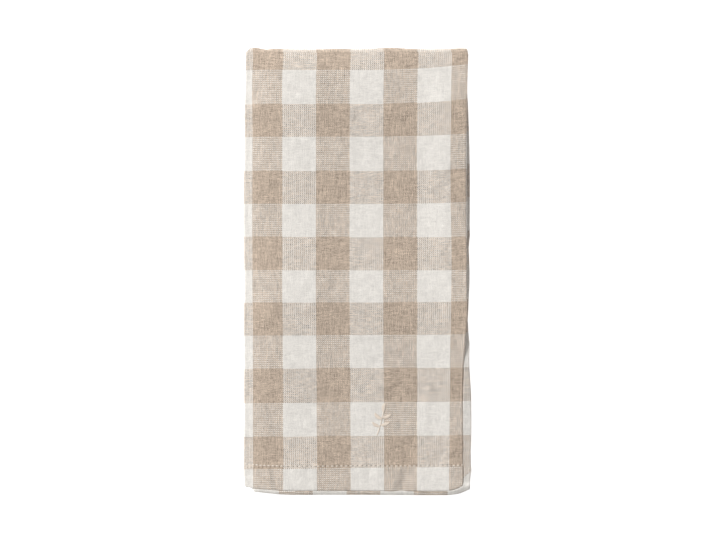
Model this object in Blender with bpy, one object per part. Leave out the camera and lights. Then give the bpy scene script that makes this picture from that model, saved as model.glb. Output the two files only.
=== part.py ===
# Cloth napkin: a hemmed square, folded to a quarter of its width and then in half along its length.
# Metres, +Z up. X runs across the napkin and +Y points at its folded top edge.
# The origin is the middle of the underside.
#
# The cloth has four panels side by side, A, B, C and D. Folding in half and in half again puts B on
# top, then C, D and A. The four layers are then folded at the top edge, with B outermost all round.

import math
from collections import namedtuple

import bmesh
import bpy

MM = 0.001

SHEET = 1.0 * MM                # thickness of the cloth
GAP = 0.3 * MM                  # air between two layers
PITCH = SHEET + GAP

HEM_DOWN = 220.9 * MM           # top layer's hem edge, measured down from the folded top edge
FOLD_SQUASH = 0.6               # a side fold's depth against its height
NOSE_SQUASH = 0.5               # the top fold's depth against its height

# Heights of the layers' middles over the plane that the last fold turns about.
LEVEL_A = 0.5 * PITCH
LEVEL_D = 1.5 * PITCH
LEVEL_C = 2.5 * PITCH
LEVEL_B = 3.5 * PITCH
HALF_HEIGHT = LEVEL_B + SHEET / 2
OUTER_FOLD = (LEVEL_B - LEVEL_A) / 2
INNER_FOLD = PITCH / 2
NOSE_DOWN = HALF_HEIGHT * NOSE_SQUASH

LAYER_STEPS = 6
TOP_LAYER_STEPS = 12
OUTER_FOLD_STEPS = 7
INNER_FOLD_STEPS = 4
HALF_STEPS = 18
NOSE_STEPS = 8

# Edges of the layers across the napkin, in millimetres, down from the top edge: the outer left fold,
# the right fold of B and C, and the free side hems of D and A.
Row = namedtuple("Row", "down left right hem_d hem_a")
FRONT_HALF = (
    Row(down=0, left=-55.6, right=55.2, hem_d=55.0, hem_a=55.3),
    Row(down=14, left=-56.0, right=54.6, hem_d=54.8, hem_a=55.0),
    Row(down=50, left=-56.3, right=54.5, hem_d=54.8, hem_a=55.4),
    Row(down=90, left=-56.7, right=54.5, hem_d=54.6, hem_a=55.3),
    Row(down=130, left=-56.2, right=54.3, hem_d=54.1, hem_a=54.7),
    Row(down=146, left=-56.5, right=54.1, hem_d=53.6, hem_a=52.5),
    Row(down=162, left=-56.3, right=52.9, hem_d=52.3, hem_a=52.3),
    Row(down=195, left=-56.3, right=52.8, hem_d=51.9, hem_a=52.2),
    Row(down=221, left=-56.5, right=53.0, hem_d=51.6, hem_a=52.0),
)
BACK_HALF = (
    Row(down=0, left=-55.4, right=55.0, hem_d=55.8, hem_a=55.3),
    Row(down=15, left=-55.3, right=54.6, hem_d=55.0, hem_a=54.8),
    Row(down=50, left=-55.5, right=54.8, hem_d=56.0, hem_a=55.0),
    Row(down=78, left=-55.7, right=55.0, hem_d=56.5, hem_a=55.2),
    Row(down=98, left=-55.4, right=54.9, hem_d=55.5, hem_a=55.0),
    Row(down=114, left=-55.4, right=55.0, hem_d=56.4, hem_a=55.1),
    Row(down=122, left=-55.3, right=55.0, hem_d=56.2, hem_a=55.0),
    Row(down=136, left=-55.2, right=55.0, hem_d=55.8, hem_a=51.8),
    Row(down=190, left=-55.1, right=55.3, hem_d=57.0, hem_a=51.7),
    Row(down=222, left=-55.0, right=55.2, hem_d=56.3, hem_a=51.7),
)

# How far each layer's end hem reaches past the top layer's, in millimetres.
Reach = namedtuple("Reach", "level front back")
REACHES = (
    Reach(level=LEVEL_A, front=0.8, back=1.0),
    Reach(level=LEVEL_D, front=0.6, back=2.40),
    Reach(level=LEVEL_C, front=0.4, back=0.9),
    Reach(level=LEVEL_B, front=0.0, back=0.4),
)

# How far the end hems draw up at their corners, in millimetres, from a layer's left end at 0 to its
# right end at 1.
Draw = namedtuple("Draw", "across up")
HEM_DRAW = (
    Draw(across=0.00, up=2.0),
    Draw(across=0.06, up=1.1),
    Draw(across=0.24, up=0.1),
    Draw(across=0.50, up=0.0),
    Draw(across=0.88, up=-0.1),
    Draw(across=0.95, up=0.6),
    Draw(across=1.00, up=2.8),
)
TUCK_LEFT = 2.2 * MM            # how far the top corners draw in at the fold
TUCK_RIGHT = 0.7 * MM

# How far the front half's top surface stands up, in millimetres: from the left fold at 0 to the right
# fold at 1, and down from the top edge. Both fade out at the edges.
Across = namedtuple("Across", "share rise")
ACROSS_RISE = (
    Across(share=0.00, rise=0.0),
    Across(share=0.05, rise=0.95),
    Across(share=0.13, rise=1.6),
    Across(share=0.25, rise=1.5),
    Across(share=0.40, rise=0.95),
    Across(share=0.55, rise=0.6),
    Across(share=0.78, rise=0.1),
    Across(share=0.92, rise=0.7),
    Across(share=1.00, rise=0.4),
)
Along = namedtuple("Along", "down rise")
ALONG_RISE = (
    Along(down=0, rise=0.0),
    Along(down=10, rise=0.5),
    Along(down=27, rise=0.75),
    Along(down=43, rise=0.0),
    Along(down=77, rise=-0.5),
    Along(down=127, rise=0.9),
    Along(down=146, rise=0.1),
    Along(down=177, rise=-0.5),
    Along(down=221, rise=0.2),
)
TOP_FADE = 12.0 * MM
SIDE_FADE = 10.0 * MM

# The right fold sags where the hems under it end short, and the lowest side hem springs up beside it.
Edge = namedtuple("Edge", "down sag spring")
RIGHT_EDGE = (
    Edge(down=0, sag=0.0, spring=0.0),
    Edge(down=120, sag=0.4, spring=0.0),
    Edge(down=140, sag=0.6, spring=0.0),
    Edge(down=150, sag=0.7, spring=3.0),
    Edge(down=163, sag=0.9, spring=4.2),
    Edge(down=223, sag=0.9, spring=4.2),
)
SAG_WIDE = 9.0 * MM
SPRING_FROM = 51.9 * MM
SPRING_WIDE = 2.2 * MM
SPRING_INSETS = (6.0, 5.0, 4.4, 3.9, 3.3, 2.7, 1.2)

CLOTH_COLOUR = (0.58, 0.50, 0.42, 1.0)
CLOTH_ROUGHNESS = 0.9

# One point of the section: where it lies, which way the cloth's face looks there, and its share of the
# way from the left end of its layer to the right end.
Point = namedtuple("Point", "x level face_x face_level across")
# One station along the napkin: its row of edges, its share of the way from the fold to the hem, and its
# turn about the last fold, 0 on the front half and pi on the back half.
Station = namedtuple("Station", "row share turn")


def mix(first, last, share):
    return first + (last - first) * share


def ease(share):
    share = min(max(share, 0.0), 1.0)
    return share * share * (3.0 - 2.0 * share)


def read_table(table, key, column, place):
    """Read a column where the key column has this value, eased between the rows."""
    for low, high in zip(table, table[1:]):
        start = getattr(low, key)
        end = getattr(high, key)
        if place <= end:
            share = ease((place - start) / (end - start))
            return mix(getattr(low, column), getattr(high, column), share)
    return getattr(table[-1], column)


def edges_at(table, down):
    """Row of edges at a distance down from the top edge, in metres."""
    columns = [read_table(table, "down", name, down / MM) * MM for name in Row._fields[1:]]
    return Row(down, *columns)


def make_stations():
    """Stations from the front half's hem, over the top fold, to the back half's hem."""
    front = []
    back = []
    for step in range(HALF_STEPS):
        share = 1.0 - step / HALF_STEPS
        down = mix(NOSE_DOWN, HEM_DOWN, share)
        front.append(Station(edges_at(FRONT_HALF, down), share, 0.0))
        back.append(Station(edges_at(BACK_HALF, down), share, math.pi))
    nose = []
    front_edges = edges_at(FRONT_HALF, NOSE_DOWN)
    back_edges = edges_at(BACK_HALF, NOSE_DOWN)
    for step in range(NOSE_STEPS + 1):
        turn = math.pi * step / NOSE_STEPS
        edges = Row(*[mix(a, b, step / NOSE_STEPS) for a, b in zip(front_edges, back_edges)])
        tucked = edges._replace(
            left=edges.left + TUCK_LEFT * math.sin(turn),
            right=edges.right - TUCK_RIGHT * math.sin(turn),
            hem_d=edges.hem_d - TUCK_RIGHT * math.sin(turn),
            hem_a=edges.hem_a - TUCK_RIGHT * math.sin(turn),
        )
        nose.append(Station(tucked, 0.0, turn))
    return front + nose + back[::-1]


def lay_panel(left, right, level, heading, steps):
    """A flat layer, closer set at its ends. Heading is 1 rightwards, where the face looks up."""
    points = []
    for step in range(steps):
        share = (1.0 - math.cos(math.pi * step / steps)) / 2.0
        across = share if heading > 0 else 1.0 - share
        points.append(Point(mix(left, right, across), level, 0.0, heading, across))
    return points


def fold_panel(axis, level, radius, side, climb, face, steps):
    """A half turn about an axis: side 1 bulges right, climb 1 goes up, face 1 looks outwards."""
    points = []
    for step in range(steps):
        angle = climb * math.pi * (step / steps - 0.5)
        out = side * FOLD_SQUASH * math.cos(angle)
        rise = math.sin(angle)
        across = 1.0 if side > 0 else 0.0
        points.append(Point(axis + radius * out, level + radius * rise, face * out, face * rise, across))
    return points


def make_section(edges):
    """The back-and-forth line of the four layers, from A's side hem to D's."""
    left = edges.left + (OUTER_FOLD + SHEET / 2) * FOLD_SQUASH
    right = edges.right - (INNER_FOLD + SHEET / 2) * FOLD_SQUASH
    left_level = (LEVEL_A + LEVEL_B) / 2
    right_level = (LEVEL_B + LEVEL_C) / 2
    points = lay_panel(left, edges.hem_a, LEVEL_A, -1, LAYER_STEPS)
    points += fold_panel(left, left_level, OUTER_FOLD, -1, 1, 1, OUTER_FOLD_STEPS)
    points += lay_panel(left, right, LEVEL_B, 1, TOP_LAYER_STEPS)
    points += fold_panel(right, right_level, INNER_FOLD, 1, -1, 1, INNER_FOLD_STEPS)
    points += lay_panel(left, right, LEVEL_C, -1, LAYER_STEPS)
    points += fold_panel(left, left_level, INNER_FOLD, -1, -1, -1, INNER_FOLD_STEPS)
    points += lay_panel(left, edges.hem_d - SPRING_INSETS[0] * MM, LEVEL_D, 1, LAYER_STEPS)
    for inset in SPRING_INSETS:
        x = edges.hem_d - inset * MM
        points.append(Point(x, LEVEL_D, 0.0, 1, (x - left) / (edges.hem_d - left)))
    points.append(Point(edges.hem_d, LEVEL_D, 0.0, 1, 1.0))
    return points


def rise_at(x, down, edges):
    """Rise of the front half's top surface, in metres."""
    share = (x - edges.left) / (edges.right - edges.left)
    inset = min(x - edges.left, edges.right - x)
    rise = read_table(ACROSS_RISE, "share", "rise", share) * ease(down / TOP_FADE)
    rise += read_table(ALONG_RISE, "down", "rise", down / MM) * ease(inset / SIDE_FADE)
    sag = read_table(RIGHT_EDGE, "down", "sag", down / MM)
    rise -= sag * (1.0 - ease((edges.right - x) / SAG_WIDE))
    return rise * MM


def spring_at(x, down):
    """Rise of the lowest side hem, in metres."""
    return read_table(RIGHT_EDGE, "down", "spring", down / MM) * MM * ease((x - SPRING_FROM) / SPRING_WIDE)


def place_point(point, side, station):
    """Corner of the cloth, side 1 on its face and -1 on its back, turned about the last fold."""
    column = "front" if station.turn < math.pi / 2 else "back"
    reach = read_table(REACHES, "level", column, point.level) * MM
    draw = read_table(HEM_DRAW, "across", "up", point.across) * MM
    down = mix(NOSE_DOWN, HEM_DOWN + reach - draw, station.share)
    lift = 1.0
    spring = 0.0
    tilt = 0.0
    if station.turn == 0.0:
        lift = 1.0 + rise_at(point.x, down, station.row) / HALF_HEIGHT
    if station.turn == math.pi and point.level == LEVEL_D:
        spring = spring_at(point.x, down)
        nearby = 0.1 * MM
        slope = (spring_at(point.x + nearby, down) - spring_at(point.x - nearby, down)) / (2 * nearby)
        tilt = math.atan(slope)
    half = side * SHEET / 2
    x = point.x + half * (point.face_x + point.face_level * math.sin(tilt))
    level = point.level + half * point.face_level * math.cos(tilt)
    y = -down + level * NOSE_SQUASH * math.sin(station.turn)
    z = HALF_HEIGHT + level * lift * math.cos(station.turn) + spring
    return (x, y, z)


def join_rings(mesh, first, second):
    """A strip of quads between two rows of corners."""
    for step in range(len(first) - 1):
        mesh.faces.new((first[step], first[step + 1], second[step + 1], second[step]))


def make_cloth():
    """Sweep the thick section along the stations and close its edges."""
    mesh = bmesh.new()
    faces = []
    backs = []
    for station in make_stations():
        section = make_section(station.row)
        faces.append([mesh.verts.new(place_point(point, 1, station)) for point in section])
        backs.append([mesh.verts.new(place_point(point, -1, station)) for point in section])
    for skin in (faces, backs):
        for first, second in zip(skin, skin[1:]):
            join_rings(mesh, first, second)
    for end in (0, -1):
        join_rings(mesh, faces[end], backs[end])
        join_rings(mesh, [ring[end] for ring in faces], [ring[end] for ring in backs])
    bmesh.ops.recalc_face_normals(mesh, faces=mesh.faces)
    return mesh


def centre_on_base(mesh):
    """Move the cloth so that the origin is the middle of its box, on the underside."""
    xs = [corner.co.x for corner in mesh.verts]
    ys = [corner.co.y for corner in mesh.verts]
    middle = ((min(xs) + max(xs)) / 2, (min(ys) + max(ys)) / 2)
    for corner in mesh.verts:
        corner.co.x -= middle[0]
        corner.co.y -= middle[1]


def make_material():
    material = bpy.data.materials.new("woven_cotton")
    material.use_nodes = True
    shader = material.node_tree.nodes["Principled BSDF"]
    shader.inputs["Base Color"].default_value = CLOTH_COLOUR
    shader.inputs["Roughness"].default_value = CLOTH_ROUGHNESS
    shader.inputs["Metallic"].default_value = 0.0
    material.diffuse_color = CLOTH_COLOUR
    return material


def make_napkin():
    cloth = make_cloth()
    centre_on_base(cloth)
    mesh = bpy.data.meshes.new("napkin")
    cloth.to_mesh(mesh)
    cloth.free()
    mesh.materials.append(make_material())
    mesh.shade_smooth()
    napkin = bpy.data.objects.new("napkin", mesh)
    bpy.context.scene.collection.objects.link(napkin)
    return napkin


def clear_scene():
    for thing in list(bpy.data.objects):
        bpy.data.objects.remove(thing, do_unlink=True)


clear_scene()
make_napkin()
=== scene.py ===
import math
from collections import namedtuple

import bpy
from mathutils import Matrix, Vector, noise
from mathutils.bvhtree import BVHTree


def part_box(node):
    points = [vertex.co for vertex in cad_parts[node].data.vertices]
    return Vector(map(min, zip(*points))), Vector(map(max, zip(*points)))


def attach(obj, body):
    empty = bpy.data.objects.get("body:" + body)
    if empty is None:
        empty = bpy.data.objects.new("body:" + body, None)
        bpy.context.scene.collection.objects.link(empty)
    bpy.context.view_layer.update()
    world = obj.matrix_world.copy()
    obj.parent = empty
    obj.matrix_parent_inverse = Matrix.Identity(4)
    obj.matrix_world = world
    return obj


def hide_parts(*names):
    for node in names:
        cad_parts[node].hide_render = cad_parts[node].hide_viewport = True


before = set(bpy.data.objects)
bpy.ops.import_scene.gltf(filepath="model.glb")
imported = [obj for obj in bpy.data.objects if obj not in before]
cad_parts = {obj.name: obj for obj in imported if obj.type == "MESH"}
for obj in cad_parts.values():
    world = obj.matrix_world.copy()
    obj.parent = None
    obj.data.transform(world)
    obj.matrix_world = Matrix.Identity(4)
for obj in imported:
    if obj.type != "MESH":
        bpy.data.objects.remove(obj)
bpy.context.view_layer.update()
napkinLow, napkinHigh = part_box("napkin")
mm = 0.001


# Small helpers

def mix(first, last, share):
    return first + (last - first) * share


def ease(share):
    share = min(max(share, 0.0), 1.0)
    return share * share * (3.0 - 2.0 * share)


def readRows(rows, key, column, place):  # a smooth curve through a column, where the key has this value
    place = min(max(place, rows[0][key]), rows[-1][key])
    step = next(step for step in range(1, len(rows)) if place <= rows[step][key])
    low, high = rows[step - 1], rows[step]
    before, after = rows[max(step - 2, 0)], rows[min(step + 1, len(rows) - 1)]
    width = high[key] - low[key]
    startSlope = (high[column] - before[column]) / (high[key] - before[key])
    endSlope = (after[column] - low[column]) / (after[key] - low[key])
    share = (place - low[key]) / width
    rest = 1.0 - share
    bend = share * rest * width * (startSlope * rest - endSlope * share)
    return mix(low[column], high[column], ease(share)) + bend


def addObject(name, mesh):
    thing = bpy.data.objects.new(name, mesh)
    bpy.context.scene.collection.objects.link(thing)
    return thing


# Shader and geometry nodes written as sums

class Signal:
    def __init__(self, sheet, socket):
        self.sheet = sheet
        self.socket = socket

    def maths(self, operation, first, second=0.0):
        return self.sheet.maths(operation, first, second)

    def __add__(self, other):
        return self.maths("ADD", self, other)

    def __radd__(self, other):
        return self.maths("ADD", other, self)

    def __sub__(self, other):
        return self.maths("SUBTRACT", self, other)

    def __rsub__(self, other):
        return self.maths("SUBTRACT", other, self)

    def __mul__(self, other):
        return self.maths("MULTIPLY", self, other)

    def __rmul__(self, other):
        return self.maths("MULTIPLY", other, self)

    def __truediv__(self, other):
        return self.maths("DIVIDE", self, other)

    def __gt__(self, other):
        return self.maths("GREATER_THAN", self, other)

    def __lt__(self, other):
        return self.maths("LESS_THAN", self, other)

    def __mod__(self, other):
        return self.maths("FLOORED_MODULO", self, other)

    def __abs__(self):
        return self.maths("ABSOLUTE", self)

    def __floor__(self):
        return self.maths("FLOOR", self)


class NodeSheet:
    def __init__(self, tree):
        self.tree = tree

    def node(self, kind, settings=None, inputs=None, output=0):
        made = self.tree.nodes.new(kind)
        for name, value in (settings or {}).items():
            setattr(made, name, value)
        for name, value in (inputs or {}).items():
            if isinstance(value, Signal):
                self.tree.links.new(value.socket, made.inputs[name])
            else:
                made.inputs[name].default_value = value
        return Signal(self, made.outputs[output])

    def maths(self, operation, first, second=0.0):
        return self.node("ShaderNodeMath", {"operation": operation}, {0: first, 1: second})

    def pick(self, factor, first, second):  # first where the factor is 0, second where it is 1
        settings = {"data_type": "RGBA"}
        return self.node("ShaderNodeMix", settings, {0: factor, 6: first, 7: second}, 2)


def newMaterial(name):
    material = bpy.data.materials.new(name)
    material.use_nodes = True
    return material, NodeSheet(material.node_tree), material.node_tree.nodes["Principled BSDF"]


# The cloth, in millimetres, laid down from the folded top edge and across from its middle

cloth = {
    "pitch": 1.3,                # from one layer to the next
    "solidSheet": 1.0,           # thickness of the cloth that the solid allows
    "thick": 0.86,
    "hemThick": 1.0,
    "hemWide": 13.6,
    "stitchLine": 12.4,          # stitching above the hem's edge
    "hemDown": 220.9,            # the top layer's hem edge
    "sideSquash": 0.36,          # depth of a side fold against its height
    "noseSquash": 0.38,          # depth of the top fold against its height
    "tuckLeft": 1.4,
    "tuckRight": 0.3,
    "hemStep": 0.9,              # the hem's thickness steps down over this width
    "hemStepIn": 0.7,
    "hemSwell": 0.22,            # the top face rises over the turned cloth
    "hemSwellWide": 1.8,
    "stitchSink": 0.17,          # and the stitching pulls it down
    "stitchSinkWide": 0.75,
    "edgeWide": 0.75,            # a free edge is rounded over this width
    "edgeThick": 0.42,           # down to this share of the thickness
    "drawFade": 30.0,            # the end hems' draw fades out up the cloth
    "drawRight": 2.0,            # and sooner towards the right
    "foldDraw": 2.4,             # a fold's end is rounded
    "rim": 1.6,                  # creases and crinkles die out this near to an edge
    "pressDeep": 0.18,           # the pressed line under the top edge
    "pressIn": 0.4,
    "pressWide": 0.7,
    "crinkles": [
        dict(high=0.150, wide=8.0, seed=1.7),
        dict(high=0.105, wide=4.0, seed=5.1),
        dict(high=0.050, wide=2.0, seed=8.3),
    ],
    "front": [                   # edges of the layers on the front half
        dict(down=0, left=-56.1, right=55.4, hemD=55.0, hemA=55.2),
        dict(down=6, left=-56.3, right=55.3, hemD=54.9, hemA=55.2),
        dict(down=14, left=-56.4, right=55.1, hemD=54.8, hemA=55.0),
        dict(down=28, left=-56.8, right=54.8, hemD=54.7, hemA=54.9),
        dict(down=50, left=-56.8, right=54.4, hemD=54.3, hemA=54.7),
        dict(down=60, left=-57.1, right=54.3, hemD=54.2, hemA=54.6),
        dict(down=90, left=-57.2, right=54.5, hemD=54.2, hemA=54.8),
        dict(down=100, left=-57.0, right=54.6, hemD=54.3, hemA=54.8),
        dict(down=125, left=-56.9, right=54.8, hemD=54.1, hemA=54.8),
        dict(down=130, left=-57.1, right=54.9, hemD=54.0, hemA=54.6),
        dict(down=146, left=-57.1, right=54.1, hemD=51.4, hemA=50.6),
        dict(down=162, left=-57.0, right=52.9, hemD=50.4, hemA=50.2),
        dict(down=195, left=-57.1, right=52.8, hemD=50.3, hemA=50.1),
        dict(down=212, left=-57.2, right=52.9, hemD=50.3, hemA=50.1),
        dict(down=221, left=-56.8, right=53.0, hemD=50.3, hemA=50.1),
    ],
    "back": [
        dict(down=0, left=-55.4, right=55.0, hemD=55.8, hemA=55.3),
        dict(down=9, left=-55.3, right=54.8, hemD=55.5, hemA=54.9),
        dict(down=15, left=-55.3, right=54.6, hemD=55.0, hemA=54.8),
        dict(down=25, left=-55.4, right=54.7, hemD=55.5, hemA=54.9),
        dict(down=50, left=-55.5, right=54.8, hemD=56.4, hemA=55.0),
        dict(down=78, left=-55.7, right=55.0, hemD=56.6, hemA=55.2),
        dict(down=88, left=-55.6, right=55.0, hemD=56.5, hemA=55.1),
        dict(down=94, left=-55.5, right=54.9, hemD=56.6, hemA=55.0),
        dict(down=98, left=-55.4, right=54.9, hemD=56.0, hemA=55.0),
        dict(down=112, left=-55.4, right=55.0, hemD=56.5, hemA=55.1),
        dict(down=125, left=-55.3, right=55.0, hemD=56.0, hemA=53.0),
        dict(down=136, left=-55.2, right=55.0, hemD=55.5, hemA=49.2),
        dict(down=146, left=-55.2, right=55.0, hemD=56.2, hemA=49.1),
        dict(down=156, left=-55.1, right=55.1, hemD=55.9, hemA=49.1),
        dict(down=170, left=-55.1, right=55.2, hemD=56.8, hemA=49.1),
        dict(down=190, left=-55.1, right=55.3, hemD=57.0, hemA=49.1),
        dict(down=205, left=-55.0, right=55.3, hemD=56.6, hemA=49.1),
        dict(down=210, left=-55.0, right=55.3, hemD=57.0, hemA=49.1),
        dict(down=214, left=-55.0, right=55.2, hemD=56.5, hemA=49.1),
        dict(down=222, left=-55.0, right=55.2, hemD=56.2, hemA=49.1),
    ],
    "reach": [                   # how far each layer's end hem passes the top layer's
        dict(level=0.65, front=-2.0, back=-2.6),
        dict(level=1.95, front=-1.6, back=2.0),
        dict(level=3.25, front=-0.9, back=0.9),
        dict(level=4.55, front=0.0, back=0.4),
    ],
    "draw": [                    # how far the end hems draw up from a layer's left end to its right end
        dict(across=0.000, front=1.9, back=5.0),
        dict(across=0.010, front=1.7, back=4.2),
        dict(across=0.022, front=1.45, back=1.6),
        dict(across=0.040, front=1.2, back=1.3),
        dict(across=0.060, front=0.95, back=1.15),
        dict(across=0.100, front=0.6, back=0.65),
        dict(across=0.140, front=0.35, back=0.3),
        dict(across=0.240, front=0.05, back=0.05),
        dict(across=0.500, front=0.0, back=0.0),
        dict(across=0.880, front=-0.2, back=-0.2),
        dict(across=0.950, front=0.3, back=0.5),
        dict(across=1.000, front=2.3, back=2.8),
    ],
    "across": [                  # how far the top surface stands up, from the left fold to the right
        dict(share=0.000, rise=0.00),
        dict(share=0.020, rise=0.20),
        dict(share=0.045, rise=0.77),
        dict(share=0.075, rise=1.41),
        dict(share=0.130, rise=2.00),
        dict(share=0.174, rise=2.08),
        dict(share=0.246, rise=1.92),
        dict(share=0.327, rise=1.60),
        dict(share=0.400, rise=1.24),
        dict(share=0.470, rise=0.98),
        dict(share=0.543, rise=0.80),
        dict(share=0.624, rise=0.64),
        dict(share=0.696, rise=0.38),
        dict(share=0.777, rise=0.13),
        dict(share=0.850, rise=0.27),
        dict(share=0.920, rise=0.58),
        dict(share=0.962, rise=0.66),
        dict(share=1.000, rise=0.68),
    ],
    "along": [                   # and more, from the top edge to the hem
        dict(down=0, rise=0.00),
        dict(down=10, rise=0.38),
        dict(down=27, rise=0.55),
        dict(down=43, rise=0.05),
        dict(down=60, rise=-0.15),
        dict(down=77, rise=-0.55),
        dict(down=93, rise=-0.25),
        dict(down=110, rise=0.35),
        dict(down=127, rise=0.90),
        dict(down=143, rise=0.10),
        dict(down=160, rise=0.05),
        dict(down=177, rise=-0.50),
        dict(down=193, rise=-0.35),
        dict(down=210, rise=-0.15),
        dict(down=221, rise=0.20),
    ],
    "topFade": 12.0,             # both fade out at the edges
    "sideFade": 20.0,
    "creases": [                 # ridges, and troughs where high is below 0
        dict(x=19.6, down=215, long=20, wide=4.6, turn=-108, high=0.36, bend=0.8),
        dict(x=24.0, down=215, long=21, wide=6.6, turn=-108, high=-0.50, bend=0.8),
        dict(x=25.5, down=202, long=16, wide=5.0, turn=-114, high=-0.30, bend=0.5),
        dict(x=13.0, down=150, long=20, wide=4.6, turn=24, high=0.16, bend=0.4),
        dict(x=15.5, down=155, long=16, wide=4.2, turn=18, high=-0.16, bend=0.3),
        dict(x=5.0, down=32, long=20, wide=4.6, turn=22, high=-0.26, bend=0.5),
        dict(x=42.0, down=62, long=120, wide=12.0, turn=90, high=0.22, bend=1.0),
        dict(x=31.5, down=54, long=110, wide=9.0, turn=88, high=-0.14, bend=-0.8),
        dict(x=50.4, down=62, long=10, wide=3.4, turn=-8, high=-0.50, bend=0.3),
        dict(x=45.0, down=67, long=16, wide=4.0, turn=48, high=-0.24, bend=0.4),
        dict(x=-40.4, down=74, long=110, wide=7.0, turn=91, high=-0.20, bend=0.6),
        dict(x=-40.4, down=190, long=60, wide=7.0, turn=88, high=-0.34, bend=-0.7),
        dict(x=41.2, down=130, long=11, wide=4.4, turn=100, high=-0.34, bend=0.0),
        dict(x=18.2, down=172, long=13, wide=4.4, turn=62, high=-0.34, bend=0.5),
        dict(x=-13.0, down=119, long=15, wide=4.4, turn=52, high=-0.30, bend=0.3),
        dict(x=20.6, down=122, long=14, wide=4.6, turn=8, high=-0.26, bend=0.5),
        dict(x=10.4, down=49, long=8, wide=3.6, turn=40, high=-0.22, bend=0.2),
        dict(x=-24.8, down=213, long=16, wide=3.4, turn=82, high=-0.30, bend=0.4),
        dict(x=-15.8, down=214, long=15, wide=3.2, turn=96, high=-0.30, bend=0.3),
        dict(x=5.6, down=214, long=16, wide=3.4, turn=86, high=-0.32, bend=0.4),
        dict(x=-34.0, down=215, long=13, wide=3.2, turn=104, high=-0.22, bend=0.3),
        dict(x=37.0, down=214, long=14, wide=3.6, turn=80, high=-0.18, bend=0.3),
        dict(x=-20.0, down=205, long=30, wide=6.0, turn=58, high=0.20, bend=0.6),
        dict(x=-5.0, down=203, long=22, wide=4.4, turn=64, high=-0.22, bend=0.5),
        dict(x=-30.0, down=172, long=26, wide=6.0, turn=-52, high=-0.20, bend=0.5),
        dict(x=-26.0, down=122, long=22, wide=5.4, turn=36, high=-0.18, bend=0.4),
        dict(x=-8.0, down=96, long=32, wide=6.0, turn=-40, high=-0.16, bend=0.6),
        dict(x=24.0, down=30, long=26, wide=5.4, turn=-62, high=-0.18, bend=0.5),
        dict(x=-10.0, down=52, long=28, wide=6.0, turn=48, high=0.18, bend=0.6),
        dict(x=16.0, down=186, long=30, wide=6.0, turn=-58, high=-0.18, bend=0.5),
        dict(x=35.0, down=176, long=30, wide=5.0, turn=80, high=0.20, bend=0.6),
        dict(x=14.0, down=8.0, long=26, wide=3.0, turn=4, high=-0.18, bend=0.3),
        dict(x=36.0, down=6.0, long=30, wide=3.0, turn=-5, high=-0.14, bend=0.3),
        dict(x=-38.0, down=5.0, long=18, wide=3.0, turn=8, high=0.16, bend=0.3),
    ],
    "topEdge": [                 # how far the folded edge wavers out
        dict(x=-56, out=0.30),
        dict(x=-52, out=1.30),
        dict(x=-46, out=0.30),
        dict(x=-41, out=0.75),
        dict(x=-34, out=0.45),
        dict(x=-18, out=0.40),
        dict(x=-10, out=0.65),
        dict(x=0, out=0.45),
        dict(x=8, out=0.85),
        dict(x=16, out=1.20),
        dict(x=25, out=0.75),
        dict(x=33, out=0.45),
        dict(x=42, out=0.50),
        dict(x=50, out=0.85),
        dict(x=56, out=0.80),
    ],
    "rightEdge": [               # it sags a little lower down, beside a pressed ridge
        dict(down=0, drop=0.0, ridge=0.06),
        dict(down=80, drop=0.0, ridge=0.10),
        dict(down=96, drop=0.0, ridge=0.16),
        dict(down=112, drop=0.0, ridge=0.44),
        dict(down=140, drop=0.0, ridge=0.46),
        dict(down=152, drop=0.05, ridge=0.22),
        dict(down=163, drop=0.05, ridge=0.08),
        dict(down=222, drop=0.05, ridge=0.08),
    ],
    "sagWide": 4.0,
    "ridgeIn": 0.5,
    "ridgeWide": 0.55,
    "spring": [                  # and there the lowest side hem springs up beside it, nearly level
        dict(down=0, up=0.0),
        dict(down=139, up=0.0),
        dict(down=150, up=0.85),
        dict(down=160, up=1.0),
        dict(down=223, up=1.0),
    ],
    "springWide": 2.4,
    "springBelow": 0.38,         # below the top surface, and sloping off
    "springSlope": 0.40,
    "slopeFade": 2.2,
    "endWide": 2.2,              # so does the lowest end hem, and it slopes off
    "endBelow": 0.12,
    "endSlope": 0.44,
    "endStart": 1.5,             # it begins this far in from the left edge
    "endStartWide": 4.0,
}

levelA = 0.5 * cloth["pitch"]
levelD = 1.5 * cloth["pitch"]
levelC = 2.5 * cloth["pitch"]
levelB = 3.5 * cloth["pitch"]
halfHeight = levelB + cloth["solidSheet"] / 2
outerFold = (levelB - levelA) / 2
innerFold = cloth["pitch"] / 2
noseDown = halfHeight * cloth["noseSquash"]

# The middle between the widest left and right edges stands at the middle of the solid's box.
widestLeft = min(row["left"] for row in cloth["front"])
widestRight = max(row["hemD"] for row in cloth["back"])
shiftX = (napkinLow[0] + napkinHigh[0]) / 2 / mm - (widestLeft + widestRight) / 2
topY = napkinHigh[1] / mm

# Samples: the steps in from a hem's free edge or off a fold, and how many steps the rest takes.
hiddenSteps = (0.0, 0.35, 0.9, 1.8, 3.6, 6.0, 9.0, 12.4, 13.6, 14.4)
hiddenFoldSteps = (5.0,)
sideSteps = (0.0, 0.35, 0.9, 1.4, 1.9, 2.4, 2.9, 3.4, 4.0, 4.6, 5.2, 5.8, 6.4, 7.0, 7.6,
             9.0, 10.6, 12.4, 13.6, 14.4)
foldSteps = (7.0, 5.0, 3.6, 2.6, 1.9, 1.3, 0.8, 0.4)
backSteps = (0.0, 0.35, 0.8, 1.2, 1.7, 2.2, 2.7, 3.2, 3.7, 4.2, 4.8, 5.6, 8.0, 10.6, 12.4, 13.6, 14.4)
endSteps = (0.0, 0.35, 0.9, 1.6, 2.4, 3.2, 4.0, 4.8, 5.6, 6.4, 7.2, 8.0, 8.8, 9.6, 10.4, 11.2,
            11.8, 12.4, 13.0, 13.6, 14.3, 15.0)
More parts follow.
